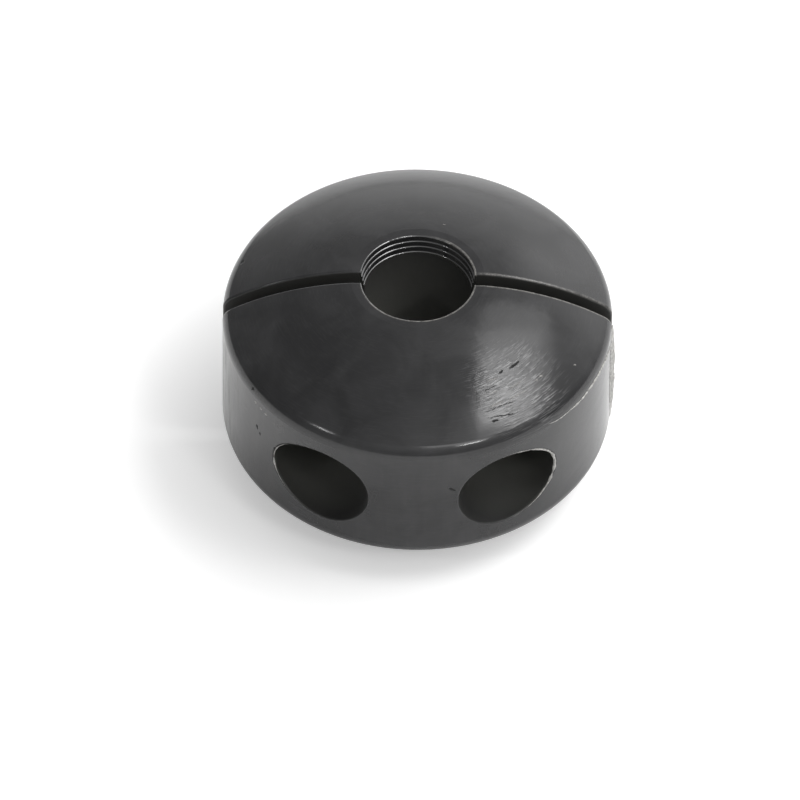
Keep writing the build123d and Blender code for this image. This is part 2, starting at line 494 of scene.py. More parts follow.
def nearest_mark(tree, place, marks):
    """A mask that is 1 in the heart of each mark and 0 outside all of them."""
    nearest = FAR_FROM_MARKS
    for start, end, width in marks:
        start, end = Vector(start), Vector(end)
        along = end - start
        in_mark = add_node(
            tree, "ShaderNodeMapping", {"vector_type": "TEXTURE"}, Vector=place,
            Location=(start + end) / 2, Rotation=along.to_track_quat("X", "Z").to_euler(),
            Scale=((along.length + width) / 2, width / 2, width),
        ).outputs["Vector"]
        distance = add_node(
            tree, "ShaderNodeVectorMath", {"operation": "LENGTH"}, _0=in_mark,
        ).outputs["Value"]
        nearest = add_node(
            tree, "ShaderNodeMath", {"operation": "MINIMUM"}, _0=distance, _1=nearest,
        ).outputs[0]
    return add_node(
        tree, "ShaderNodeMapRange", {"interpolation_type": "SMOOTHSTEP"}, Value=nearest,
        From_Min=1.1, From_Max=0.6, To_Min=0.0, To_Max=1.0,
    ).outputs["Result"]


print("marks", len(DARK_MARKS), "dark and", len(PALE_MARKS_AND_HIGHLIGHTS), "pale")

# %% [markdown]
# ## Painted light in the recesses
# The pockets, the grip and the gap have a dull finish, and their colour is painted light and
# shade: lighter the deeper it lies, against the shade that falls there, and in the pockets darker
# near their mouths.  Each recess is known from its size alone: a pocket by the distance from its
# axis, the grip and the mouth by their radius, and the gap by how close to the parting plane its
# faces lie.  The sizes of all the masks are in millimetres.

# %% Masks for the recesses
POCKET_RADIUS, GRIP_RADIUS, RIM_RADIUS = 8.4, 9.6, 10.4
HALF_GAP = parting_gap / 2 / MM


def pocket_distance(tree, at):
    """The distance in mm from the axis of the nearer screw."""
    across = add_node(
        tree, "ShaderNodeMath", {"operation": "ABSOLUTE"}, _0=at["x"],
    ).outputs[0]
    across = add_node(
        tree, "ShaderNodeMath", {"operation": "SUBTRACT"}, _0=across, _1=screw_offset / MM,
    ).outputs[0]
    section = add_node(
        tree, "ShaderNodeCombineXYZ", X=across, Y=at["from_middle"],
    ).outputs[0]
    return add_node(
        tree, "ShaderNodeVectorMath", {"operation": "LENGTH"}, _0=section,
    ).outputs["Value"]


def recess_masks(tree, at):
    """For each recess, a mask that is 1 on its wall and 0 on the skin outside."""
    walls = {
        # recess: (what tells it, as far as its wall, where the skin starts)
        "pocket": (pocket_distance(tree, at), POCKET_RADIUS + 0.04, POCKET_RADIUS + 0.16),
        "grip": (at["radius"], GRIP_RADIUS + 0.04, GRIP_RADIUS + 0.12),
        "gap": (at["from_parting"], HALF_GAP + 0.02, HALF_GAP + 0.08),
        "mouth": (at["radius"], RIM_RADIUS, RIM_RADIUS + 0.1),
    }
    masks = {}
    for recess, (distance, wall, skin) in walls.items():
        masks[recess] = add_node(
            tree, "ShaderNodeMapRange", Value=distance,
            From_Min=wall, From_Max=skin, To_Min=1.0, To_Max=0.0,
        ).outputs["Result"]
    return masks


print("radii in mm: pocket", POCKET_RADIUS, "grip", GRIP_RADIUS, "rim", RIM_RADIUS)

# %% Painted light and shade in the recesses
POCKET_PAINTED_SHADING_STARTS, POCKET_PAINTED_SHADING_FULL = 31.0, 18.0  # from the parting plane
GRIP_PAINTED_LIGHT_STARTS, GRIP_PAINTED_LIGHT_FULL = 17.5, 0.0  # from the middle of the height


# Painted shading: the colour of a recess changes with depth, lighter the deeper, against its shade.
def painted_recess_shading(tree, depth, shallow, deep, thin, thick):
    """Painted shading: goes from one colour at the shallow place to the other at the deep one."""
    share = add_node(
        tree, "ShaderNodeMapRange", Value=depth,
        From_Min=shallow, From_Max=deep, To_Min=0.0, To_Max=1.0,
    ).outputs["Result"]
    return add_node(
        tree, "ShaderNodeMix", {"data_type": "RGBA"}, _0=share,
        _6=linear_colour(thin), _7=linear_colour(thick),
    ).outputs[2]

# %% [markdown]
# ## Pale edges, worn and painted as highlights
# The rim of the mouth and the edges along the gap take every knock, and the outermost rubber has
# torn away there.  Torn rubber scatters more light than moulded skin, so it looks paler and dull.
# The pale is also a painted highlight, the bright line that these edges catch.  The edges along
# the gap are pale on the right side only, and most on the front half.  The rim of the mouth is
# pale all round but for its back left.

# %% Pale edges along the gap: wear and painted highlight
EDGE_START = (1.22, 1.34)  # from the parting plane, where the mask goes from 0 to 1
EDGE_END = (1.5, 1.85)  # and where it goes back to 0
WEAR_AND_HIGHLIGHT_SIDE = (9.5, 12.5)  # to the right of the axis
REAR_WEAR_AND_HIGHLIGHT = 0.6


def parting_edge_wear_and_highlight(tree, at):
    """A mask for the edges of the two parting faces, on the right side."""
    before_end = add_node(
        tree, "ShaderNodeMapRange", {"interpolation_type": "SMOOTHSTEP"},
        Value=at["from_parting"],
        From_Min=EDGE_END[1], From_Max=EDGE_END[0], To_Min=0.0, To_Max=1.0,
    ).outputs["Result"]
    past_start = add_node(
        tree, "ShaderNodeMapRange", Value=at["from_parting"],
        From_Min=EDGE_START[0], From_Max=EDGE_START[1], To_Min=0.0, To_Max=1.0,
    ).outputs["Result"]
    right = add_node(
        tree, "ShaderNodeMapRange", {"interpolation_type": "SMOOTHSTEP"}, Value=at["x"],
        From_Min=WEAR_AND_HIGHLIGHT_SIDE[0], From_Max=WEAR_AND_HIGHLIGHT_SIDE[1], To_Min=0.0, To_Max=1.0,
    ).outputs["Result"]
    front = add_node(
        tree, "ShaderNodeMapRange", Value=at["y"],
        From_Min=-1.0, From_Max=1.0, To_Min=1.0, To_Max=REAR_WEAR_AND_HIGHLIGHT,
    ).outputs["Result"]
    wear_and_highlight = before_end
    for share in (past_start, right, front):
        wear_and_highlight = add_node(
            tree, "ShaderNodeMath", {"operation": "MULTIPLY"}, _0=wear_and_highlight, _1=share,
        ).outputs[0]
    return wear_and_highlight

# %% Pale rim of the mouth: wear and painted highlight
CREST_RADIUS = RIM_RADIUS - 0.02
CREST_WIDTH = (0.08, 0.3)  # each side of the crest, where the mask goes from 1 to 0
CREST_DEPTH = (0.3, 0.6)  # the same, below the land
BACK_LEFT_REACH = 9.0


def rim_wear_and_highlight(tree, at):
    """A mask for the rim of both mouths, which fades out towards the back left."""
    from_crest = add_node(
        tree, "ShaderNodeMath", {"operation": "SUBTRACT"}, _0=at["radius"], _1=CREST_RADIUS,
    ).outputs[0]
    from_crest = add_node(
        tree, "ShaderNodeMath", {"operation": "ABSOLUTE"}, _0=from_crest,
    ).outputs[0]
    crest = add_node(
        tree, "ShaderNodeMapRange", {"interpolation_type": "SMOOTHSTEP"}, Value=from_crest,
        From_Min=CREST_WIDTH[1], From_Max=CREST_WIDTH[0], To_Min=0.0, To_Max=1.0,
    ).outputs["Result"]
    land = mid_height / MM
    top = add_node(
        tree, "ShaderNodeMapRange", Value=at["from_middle"],
        From_Min=land - CREST_DEPTH[1], From_Max=land - CREST_DEPTH[0],
        To_Min=0.0, To_Max=1.0,
    ).outputs["Result"]
    front_or_right = add_node(
        tree, "ShaderNodeMath", {"operation": "SUBTRACT"}, _0=at["x"], _1=at["y"],
    ).outputs[0]
    front_or_right = add_node(
        tree, "ShaderNodeMapRange", Value=front_or_right,
        From_Min=-BACK_LEFT_REACH, From_Max=0.0, To_Min=0.0, To_Max=1.0,
    ).outputs["Result"]
    wear_and_highlight = crest
    for share in (top, front_or_right):
        wear_and_highlight = add_node(
            tree, "ShaderNodeMath", {"operation": "MULTIPLY"}, _0=wear_and_highlight, _1=share,
        ).outputs[0]
    return wear_and_highlight

# %% All pale edges, in crumbs
CRUMB_SIZE = 0.9


def edge_wear_and_highlight(tree, at):
    """The mask for all pale edges, wear and painted highlight, broken up by a noise of the size of a
    crumb.
    """
    edges = add_node(
        tree, "ShaderNodeMath", {"operation": "MAXIMUM"},
        _0=parting_edge_wear_and_highlight(tree, at), _1=rim_wear_and_highlight(tree, at),
    ).outputs[0]
    crumbs = add_node(
        tree, "ShaderNodeTexNoise", Vector=at["place"], Scale=1 / CRUMB_SIZE, Detail=3.0,
        Roughness=0.7,
    ).outputs["Fac"]
    crumbs = add_node(
        tree, "ShaderNodeMapRange", Value=crumbs,
        From_Min=0.38, From_Max=0.6, To_Min=0.35, To_Max=1.0,
    ).outputs["Result"]
    return add_node(
        tree, "ShaderNodeMath", {"operation": "MULTIPLY"}, _0=edges, _1=crumbs,
    ).outputs[0]

# %% [markdown]
# ## Smears and grease
# Two more finishes are broad.  Where wet hands and the floor have wiped the band, upright smears
# of pale haze are left, most on its left side.  And the moving hose has polished the mouth and
# left a film of silicone grease on its steps.

# %% Masks for the smears and the grease
SMEAR_WIDTH, SMEAR_HEIGHT = 1.6, 9.0
BAND_RADIUS = body_radius / MM
SMEARED_SIDE = (-31.0, -22.0)  # from the left end towards the axis
STEPS_START = (17.6, 17.8)  # from the middle of the height


def band_smears(tree, at):
    """A mask for the upright smears on the side band."""
    stretched = add_node(
        tree, "ShaderNodeVectorMath", {"operation": "MULTIPLY"},
        _0=at["place"], _1=(1 / SMEAR_WIDTH, 1 / SMEAR_WIDTH, 1 / SMEAR_HEIGHT),
    ).outputs["Vector"]
    smears = add_node(
        tree, "ShaderNodeTexNoise", Vector=stretched, Scale=1.0, Detail=3.0, Roughness=0.6,
    ).outputs["Fac"]
    smears = add_node(
        tree, "ShaderNodeMapRange", Value=smears,
        From_Min=0.42, From_Max=0.68, To_Min=0.0, To_Max=1.0,
    ).outputs["Result"]
    band = add_node(
        tree, "ShaderNodeMapRange", Value=at["radius"],
        From_Min=BAND_RADIUS - 0.6, From_Max=BAND_RADIUS - 0.1, To_Min=0.0, To_Max=1.0,
    ).outputs["Result"]
    side = add_node(
        tree, "ShaderNodeMapRange", Value=at["x"],
        From_Min=SMEARED_SIDE[0], From_Max=SMEARED_SIDE[1], To_Min=0.8, To_Max=0.08,
    ).outputs["Result"]
    for share in (band, side):
        smears = add_node(
            tree, "ShaderNodeMath", {"operation": "MULTIPLY"}, _0=smears, _1=share,
        ).outputs[0]
    return smears


def greased_steps(tree, at, mouth):
    """The part of the mouth's mask that lies on its steps."""
    steps = add_node(
        tree, "ShaderNodeMapRange", Value=at["from_middle"],
        From_Min=STEPS_START[0], From_Max=STEPS_START[1], To_Min=0.0, To_Max=1.0,
    ).outputs["Result"]
    return add_node(
        tree, "ShaderNodeMath", {"operation": "MULTIPLY"}, _0=mouth, _1=steps,
    ).outputs[0]

# %% [markdown]
# ## The moulded skin
# The skin itself is not one even tone.  Broad smudges, where hands have been, make it a shade
# lighter and duller, and in the rubbed place the ridges between the streaks are scuffed pale.
# That pale is partly a painted highlight, which draws bright streaks in the highlight there.

# %% Colour and roughness of the skin
# The scuffed pale is partly a painted highlight, for bright streaks in the highlight.
RUBBER_SKIN, RUBBER_HAZE, SCUFF_AND_HIGHLIGHT_PALE = "#262627", "#303031", "#808080"
SCUFF_ROUGHNESS = 0.14  # added to the roughness of the skin


def moulded_skin(tree, smudges, streaks, rubbed):
    """The colour and roughness of the skin, before any other finish covers it."""
    haze = add_node(
        tree, "ShaderNodeMapRange", Value=smudges,
        From_Min=0.35, From_Max=0.65, To_Min=0.0, To_Max=1.0,
    ).outputs["Result"]
    colour = add_node(
        tree, "ShaderNodeMix", {"data_type": "RGBA"}, _0=haze,
        _6=linear_colour(RUBBER_SKIN), _7=linear_colour(RUBBER_HAZE),
    ).outputs[2]
    roughness = add_node(
        tree, "ShaderNodeMapRange", Value=smudges,
        From_Min=0.3, From_Max=0.7, To_Min=0.11, To_Max=0.18,
    ).outputs["Result"]
    # Pale scuffs in the rubbed place, partly painted highlight.
    scuffs_and_highlight = add_node(
        tree, "ShaderNodeMapRange", Value=streaks,
        From_Min=0.53, From_Max=0.61, To_Min=0.0, To_Max=1.0,
    ).outputs["Result"]
    scuffs_and_highlight = add_node(
        tree, "ShaderNodeMath", {"operation": "MULTIPLY"}, _0=scuffs_and_highlight, _1=rubbed,
    ).outputs[0]
    colour = add_node(
        tree, "ShaderNodeMix", {"data_type": "RGBA"}, _0=scuffs_and_highlight,
        _6=colour, _7=linear_colour(SCUFF_AND_HIGHLIGHT_PALE),
    ).outputs[2]
    roughness = add_node(
        tree, "ShaderNodeMath", {"operation": "MULTIPLY_ADD"},
        _0=scuffs_and_highlight, _1=SCUFF_ROUGHNESS, _2=roughness,
    ).outputs[0]
    return colour, roughness

# %% [markdown]
# ## Finishes over the skin
# Each finish is a mask with a colour and a roughness, and it covers what lies below it.  The
# painted light of the recesses comes first and the cuts and specks last, because they are the
# newest.  Cuts and specks also have a depth, so their masks are handed on to the bump.  Some of
# these colours are painted light: the recesses are lifted against their shade, the pale edges and
# specks are partly painted highlights, and one dark mark is painted shade.

# %% Cover the skin
# Painted light and shade: the pockets are darker near their mouths and lighter deep in, and the grip
# and the gap are lighter than the skin.
POCKET_PAINTED_SHADING, GRIP_PAINTED_LIGHT = ("#1B1B1A", "#5A5A56"), ("#333331", "#62625E")
GAP_PAINTED_LIGHT, SMEARED_RUBBER, PALE_WEAR_AND_HIGHLIGHT = "#323230", "#4A4947", "#7C7A76"
# The pale speck colour also paints highlight streaks, and the cut black also paints shade at one
# pocket corner.
CUT_AND_SHADE_BLACK, PALE_SPECK_AND_HIGHLIGHT = "#111111", "#8E8C88"


def cover_skin(tree, at, masks, cuts_and_shade, specks_and_highlights, colour, roughness):
    """Puts one finish over the other, and returns the colour and roughness on top."""
    pocket_painted_shading = painted_recess_shading(
        tree, at["from_parting"], POCKET_PAINTED_SHADING_STARTS, POCKET_PAINTED_SHADING_FULL, *POCKET_PAINTED_SHADING,
    )
    grip_painted_light = painted_recess_shading(
        tree, at["from_middle"], GRIP_PAINTED_LIGHT_STARTS, GRIP_PAINTED_LIGHT_FULL, *GRIP_PAINTED_LIGHT,
    )
    finishes = (
        # (mask, colour, roughness)
        # Painted light and shade in the pockets, the grip and the gap.
        (masks["pocket"], pocket_painted_shading, 0.6),
        (masks["grip"], grip_painted_light, 0.6),
        (masks["gap"], linear_colour(GAP_PAINTED_LIGHT), 0.55),
        (band_smears(tree, at), linear_colour(SMEARED_RUBBER), 0.3),
        # Pale edges: wear, and partly a painted highlight.
        (edge_wear_and_highlight(tree, at), linear_colour(PALE_WEAR_AND_HIGHLIGHT), 0.5),
        (cuts_and_shade, linear_colour(CUT_AND_SHADE_BLACK), 0.8),
        (specks_and_highlights, linear_colour(PALE_SPECK_AND_HIGHLIGHT), 0.4),
    )
    for mask, finish_colour, finish_roughness in finishes:
        colour = add_node(
            tree, "ShaderNodeMix", {"data_type": "RGBA"}, _0=mask,
            _6=colour, _7=finish_colour,
        ).outputs[2]
        roughness = add_node(
            tree, "ShaderNodeMix", _0=mask, _2=roughness, _3=finish_roughness,
        ).outputs[0]
    return colour, roughness

# %% [markdown]
# ## The relief of the skin
# Every height is in millimetres, so that one Bump node with a distance of 1 mm can take the sum.
# Beside the streaks there is a fine grain from the mould and a slow swell, by which moulded
# rubber is never quite true.  The marks have ragged outlines: the place that they are read at is
# shifted by up to a quarter of a millimetre each way, by a noise of half a millimetre.

# %% Heights and torn outlines
GRAIN_SIZE, SMUDGE_SIZE, TEAR_SIZE, TEAR_REACH = 0.25, 9.0, 0.5, 0.5
GRAIN_DEPTH, SWELL_DEPTH, CUT_DEPTH, SPECK_HEIGHT = 0.002, 0.06, -0.08, 0.02


def torn_place(tree, at):
    """The place in mm, shifted by a fine noise."""
    torn = add_node(
        tree, "ShaderNodeTexNoise", Vector=at["place"], Scale=1 / TEAR_SIZE, Detail=2.0,
    ).outputs["Color"]
    place = add_node(
        tree, "ShaderNodeVectorMath", {"operation": "MULTIPLY_ADD"},
        _0=torn, _1=(TEAR_REACH,) * 3, _2=at["place"],
    ).outputs["Vector"]
    return add_node(
        tree, "ShaderNodeVectorMath", {"operation": "SUBTRACT"},
        _0=place, _1=(TEAR_REACH / 2,) * 3,
    ).outputs["Vector"]


def relief(tree, streaks, rubbed, heights):
    """The bent normal, from the streaks and from pairs of a mask or noise and its height."""
    height = add_node(
        tree, "ShaderNodeMath", {"operation": "MULTIPLY"}, _0=streaks, _1=rubbed,
    ).outputs[0]
    height = add_node(
        tree, "ShaderNodeMath", {"operation": "MULTIPLY"}, _0=height, _1=STREAK_DEPTH,
    ).outputs[0]
    for source, depth in heights:
        height = add_node(
            tree, "ShaderNodeMath", {"operation": "MULTIPLY_ADD"},
            _0=source, _1=depth, _2=height,
        ).outputs[0]
    return add_node(
        tree, "ShaderNodeBump", Height=height, Distance=MM, Strength=1.0,
    ).outputs["Normal"]

# %% [markdown]
# ## The rubber, put together
# Two shaders share the colour and the relief.  One is the satin skin.  The other stands for the
# greased steps of the mouth: it has a clear coat, whose index is set above that of real grease,
# because the polished rubber beneath it shines as well.

# %% Moulded rubber
POLISHED_ROUGHNESS, GREASE_ROUGHNESS, GREASE_IOR = 0.1, 0.06, 1.9


def moulded_rubber():
    """The material of both halves."""
    material, tree = new_material("black moulded nitrile rubber")
    at = body_coordinates(tree)
    masks = recess_masks(tree, at)
    streaks, rubbed = rubbing_streaks(tree, at)
    grain = add_node(
        tree, "ShaderNodeTexNoise", Vector=at["place"], Scale=1 / GRAIN_SIZE, Detail=1.0,
    ).outputs["Fac"]
    smudges = add_node(
        tree, "ShaderNodeTexNoise", Vector=at["place"], Scale=1 / SMUDGE_SIZE, Detail=3.0,
        Roughness=0.55, Distortion=0.6,
    ).outputs["Fac"]
    ragged_place = torn_place(tree, at)
    cuts_and_shade = nearest_mark(tree, ragged_place, DARK_MARKS)
    specks_and_highlights = nearest_mark(tree, ragged_place, PALE_MARKS_AND_HIGHLIGHTS)

    colour, roughness = moulded_skin(tree, smudges, streaks, rubbed)
    colour, roughness = cover_skin(tree, at, masks, cuts_and_shade, specks_and_highlights, colour, roughness)
    heights = (
        (grain, GRAIN_DEPTH), (smudges, SWELL_DEPTH), (cuts_and_shade, CUT_DEPTH),
        (specks_and_highlights, SPECK_HEIGHT),
    )
    bump = relief(tree, streaks, rubbed, heights)
    skin = add_node(
        tree, "ShaderNodeBsdfPrincipled", Base_Color=colour, Roughness=roughness, Normal=bump,
    )
    greased = add_node(
        tree, "ShaderNodeBsdfPrincipled", Base_Color=colour, Roughness=POLISHED_ROUGHNESS,
        Normal=bump, Coat_Weight=1.0, Coat_IOR=GREASE_IOR, Coat_Roughness=GREASE_ROUGHNESS,
    )
    both = add_node(
        tree, "ShaderNodeMixShader", _0=greased_steps(tree, at, masks["mouth"]),
        _1=skin.outputs[0], _2=greased.outputs[0],
    )
    add_node(tree, "ShaderNodeOutputMaterial", Surface=both.outputs[0])
    print("rubber nodes", len(tree.nodes))
    return material


rubber = moulded_rubber()
for name in ("front_half", "rear_half"):
    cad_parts[name].data.materials[0] = rubber
    print(name, "wears", rubber.name)

# %% [markdown]
# ## Pieces from several shapes
# Most pieces are modelled in one or more bmesh shapes.  One helper turns them into an object: it
# makes the faces point outwards, joins the shapes in one mesh, and lets the piece ride on the
# body of the stopper.

# %% Join shapes
def join_shapes(name, shapes, material):
    """One object from several bmesh shapes."""
    mesh = bpy.data.meshes.new(name)
    whole = bmesh.new()
    for shape in shapes:
        bmesh.ops.recalc_face_normals(shape, faces=shape.faces[:])
        part = bpy.data.meshes.new("part_of_" + name)
        shape.to_mesh(part)
        shape.free()
        whole.from_mesh(part)
        bpy.data.meshes.remove(part)
    whole.to_mesh(mesh)
    whole.free()
    mesh.materials.append(material)
    piece = bpy.data.objects.new(name, mesh)
    bpy.context.scene.collection.objects.link(piece)
    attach(piece, "root")
    print(name, len(mesh.vertices), "points,", len(mesh.polygons), "faces")
    return piece

# %% [markdown]
# ## Mould flash
# The mould of each half comes apart in a few pieces, and where two of them meet a film of rubber
# creeps out, which moulders call flash.  It is torn off by hand, and what stays is a low ragged
# line.  Here it runs along the foot of the shoulder on the right, stands as a thin fin on the
# right end of the front half, and rings the pockets.  Each of these is its own small piece, made
# by a spin or from a grid, with a seeded noise that varies its width.

# %% Find the skin of the body, and ragged widths
def body_skin(name):
    """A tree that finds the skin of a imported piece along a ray."""
    shape = bmesh.new()
    shape.from_mesh(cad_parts[name].data)
    skin = BVHTree.FromBMesh(shape)
    shape.free()
    return skin


def ragged(place, spread, seed):
    """A factor round 1 that changes slowly with a place, and is the same in each run."""
    return 1 + spread * noise.fractal(Vector((place, seed, 0.5)), 0.9, 2.0, 4)


def close_ends(shape):
    """Caps every open loop of a shape."""
    open_edges = [edge for edge in shape.edges if edge.is_boundary]
    bmesh.ops.holes_fill(shape, edges=open_edges, sides=0)


front_skin = body_skin("front_half")
RAY_START = body_radius + 5 * MM
print("rays start", round(RAY_START / MM, 1), "mm from the axis")

# %% [markdown]
# ## The finish of torn flash
# Torn rubber has no mould skin.  Its surface is a mass of small tears, which scatter the light,
# and the wax in the compound blooms on it as a grey film.  Both make it far paler than the body.
# The pale is also a painted highlight, for the light that these thin ridges catch.

# %% Torn rubber, with painted highlight
# Pale colours: torn rubber, and partly a painted highlight on the ridges.
PALE_TEAR_AND_HIGHLIGHT, WAX_BLOOM_AND_HIGHLIGHT = "#7A7976", "#BEBDB9"
FLASH_TEAR_SIZE, FLASH_TEAR_DEPTH = 0.5 * MM, 0.05 * MM


def torn_rubber_and_highlight():
    """The material of every piece of flash."""
    material, tree = new_material("torn nitrile rubber with wax bloom and painted highlight")
    metres = add_node(tree, "ShaderNodeTexCoord").outputs["Object"]
    tears = add_node(
        tree, "ShaderNodeTexNoise", Vector=metres, Scale=1 / FLASH_TEAR_SIZE, Detail=3.0,
        Roughness=0.65,
    ).outputs["Fac"]
    bloom = add_node(
        tree, "ShaderNodeMapRange", Value=tears,
        From_Min=0.35, From_Max=0.62, To_Min=0.0, To_Max=1.0,
    ).outputs["Result"]
    colour = add_node(
        tree, "ShaderNodeMix", {"data_type": "RGBA"}, _0=bloom,
        _6=linear_colour(PALE_TEAR_AND_HIGHLIGHT), _7=linear_colour(WAX_BLOOM_AND_HIGHLIGHT),
    ).outputs[2]
    bump = add_node(
        tree, "ShaderNodeBump", Height=tears, Distance=FLASH_TEAR_DEPTH, Strength=1.0,
    ).outputs["Normal"]
    skin = add_node(
        tree, "ShaderNodeBsdfPrincipled", Base_Color=colour, Roughness=0.45, Normal=bump,
    )
    add_node(tree, "ShaderNodeOutputMaterial", Surface=skin.outputs[0])
    return material


torn_skin_and_highlight = torn_rubber_and_highlight()

# %% [markdown]
# ## The flash line on the shoulder
# A small circle is spun round the axis of the body, half sunk in its skin.  Then each ring of the
# spin is drawn in by the ragged width, tapered to nothing at both ends, and shifted a little up or
# down, since the two parts of a mould never meet in a perfect line.

# %% Flash line
LINE_START, LINE_END = 43.0, 86.0  # azimuths in degrees
LINE_HEIGHT_ABOVE_MIDDLE = 10.7 * MM
LINE_RADIUS = 0.19 * MM
FALL_START, END_FALL = 72.0, 2.6  # from here on it bends down, by this many mm at its end
RISE_END, START_RISE = 52.0, 1.0  # before here it lies higher, by this many mm at its start
LINE_WANDER = 0.22


def flash_line():
    """A ragged bead round the foot of the shoulder."""
    level = mid_height + LINE_HEIGHT_ABOVE_MIDDLE
    shape = bmesh.new()
    first = bmesh.ops.create_circle(
        shape, radius=LINE_RADIUS, segments=8,
        matrix=Matrix.Rotation(math.radians(LINE_START), 4, "Z")
        @ Matrix.Translation((0, -body_radius, level)) @ Matrix.Rotation(math.pi / 2, 4, "Y"),
    )["verts"]
    bmesh.ops.spin(
        shape, geom=first + shape.edges[:], cent=(0, 0, 0), axis=(0, 0, 1),
        angle=math.radians(LINE_END - LINE_START), steps=220,
    )
    for vertex in shape.verts:
        azimuth = math.degrees(math.atan2(vertex.co.x, -vertex.co.y))
        share = (azimuth - LINE_START) / (LINE_END - LINE_START)
        taper = max(0.0, math.sin(math.pi * min(max(share, 0), 1))) ** 0.5
        growth = 0.65 + 0.7 * share
        width = taper * max(0.6, ragged(azimuth * 0.9, 0.6, 3.1)) * growth
        fall = max(0.0, (azimuth - FALL_START) / (LINE_END - FALL_START))
        rise = max(0.0, (RISE_END - azimuth) / (RISE_END - LINE_START))
        drop = END_FALL * fall ** 2 - START_RISE * rise ** 2
        wander = LINE_WANDER * noise.noise(Vector((azimuth * 0.16, 0, 8.3)))
        distance = math.hypot(vertex.co.x, vertex.co.y)
        level_here = level - (drop + wander) * MM
        start = direction(azimuth, 0) * RAY_START
        skin_point = front_skin.ray_cast(
            Vector((start.x, start.y, level_here)), -direction(azimuth, 0),
        )[0]
        reach = math.hypot(skin_point.x, skin_point.y) + (distance - body_radius) * width
        outward = direction(azimuth, 0) * reach
        vertex.co = (
            outward.x, outward.y, level_here + (vertex.co.z - level) * width,
        )
    close_ends(shape)
    line = join_shapes("flash_line", [shape], torn_skin_and_highlight)


flash_line()

# %% [markdown]
# ## The fin on the right end
# Here the flash wasn't torn off: a thin film stands out from the parting edge of the front half.
# It starts as a flat grid, whose columns run up the edge.  The inner side is sunk a little in the
# rubber, and the outer side follows a bow with a ragged line.  The film leaves the band at a low
# angle, so it catches the same light as the band beside it.  Solidify then gives it its thickness,
# along the normals of the moved points, so these are worked out again first.

# %% Fin
FIN_LOW, FIN_HIGH = 9.0 * MM, 33.2 * MM
FIN_REACH, FIN_THICKNESS = 0.7 * MM, 0.14 * MM
FIN_TIP_BEFORE_FACE, FIN_FOOT_BEFORE_FACE = 0.3 * MM, 1.9 * MM
FIN_SUNK, FIN_PROUD = 0.12 * MM, 0.8 * MM  # below the skin at its foot, and above it at most


def flash_fin():
    """A thin film on the right end, just before the parting face."""
    tip_y = front_high.y - FIN_TIP_BEFORE_FACE
    foot_y = front_high.y - FIN_FOOT_BEFORE_FACE
    shape = bmesh.new()
    bmesh.ops.create_grid(shape, x_segments=3, y_segments=90, size=0.5)
    for vertex in shape.verts:
        outward, upward = vertex.co.x + 0.5, vertex.co.y + 0.5
        height = FIN_LOW + upward * (FIN_HIGH - FIN_LOW)
        skin_point = front_skin.ray_cast(
            Vector((RAY_START, foot_y, height)), Vector((-1, 0, 0)),
        )[0]
        bow = math.sin(math.pi * min(1.0, 0.04 + 0.9 * upward)) ** 0.6
        reach = FIN_REACH * bow * ragged(height / MM * 0.5, 0.25, 5.7)
        edge = min(body_radius - 0.1 * MM + reach, skin_point.x + FIN_PROUD)
        foot = Vector((skin_point.x - FIN_SUNK, foot_y, height))
        vertex.co = foot.lerp(Vector((edge, tip_y, height)), outward)
    shape.normal_update()
    bmesh.ops.solidify(shape, geom=shape.faces[:], thickness=FIN_THICKNESS)
    fin = join_shapes("flash_fin", [shape], torn_skin_and_highlight)


flash_fin()

# %% [markdown]
# ## Torn rims of the pockets
# The pins that form the pockets leave a ring of flash on the curved side.  It is widest on the
# outer side of each pocket, most of all on the right one, and elsewhere next to nothing.  A
# circle is spun all round the axis of the pocket, and each point is then moved along that axis
# onto the curved skin.

# %% Pocket rims
RING_RADIUS = 8.62 * MM
RING_SUNK = 0.04 * MM
RIGHT_BEAD, LEFT_BEAD = 0.20 * MM, 0.12 * MM


def torn_rim(name, side, bead, widest, spread):
    """A ring of flash.  Widest is its angle from the outer side upwards, in degrees."""
    centre_x = side * screw_offset
    shape = bmesh.new()
    first = bmesh.ops.create_circle(
        shape, radius=bead, segments=8,
        matrix=Matrix.Translation((centre_x + RING_RADIUS, 0, mid_height)),
    )["verts"]
    bmesh.ops.spin(
        shape, geom=first + shape.edges[:], cent=(centre_x, 0, mid_height), axis=(0, 1, 0),
        angle=math.tau, steps=180, use_merge=True,
    )
    for vertex in shape.verts:
        across, up = vertex.co.x - centre_x, vertex.co.z - mid_height
        angle = math.degrees(math.atan2(up, side * across))
        away = abs((angle - widest + 180) % 360 - 180) / spread
        width = max(0.05, math.exp(-away ** 4)) * max(0.3, ragged(angle * 0.12, 0.8, side))
        distance = RING_RADIUS + (math.hypot(across, up) - RING_RADIUS) * width
        turn = math.atan2(up, across)
        path_x = centre_x + RING_RADIUS * math.cos(turn)
        skin_y = -math.sqrt(body_radius ** 2 - path_x ** 2)
        vertex.co = (
            centre_x + distance * math.cos(turn), skin_y + RING_SUNK + vertex.co.y * width,
            mid_height + distance * math.sin(turn),
        )
    rim = join_shapes(name, [shape], torn_skin_and_highlight)


torn_rim("torn_rim_right", 1, RIGHT_BEAD, 12.0, 62.0)
torn_rim("torn_rim_left", -1, LEFT_BEAD, 4.0, 34.0)

# %% [markdown]
# ## Threaded screws
# The clamp screws are M6 hexagon screws, cold-headed from wire and threaded by rolling up to the
# head.  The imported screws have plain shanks.  A copy keeps the hexagon heads, which are right, and
# each shank becomes a real thread: one pitch of the profile is spun round the axis while it climbs
# by a pitch per turn, and then the two ends are cut square.  A spin with an offset is exact and
# short, where a thread in the bump of a material would leave the outline smooth.

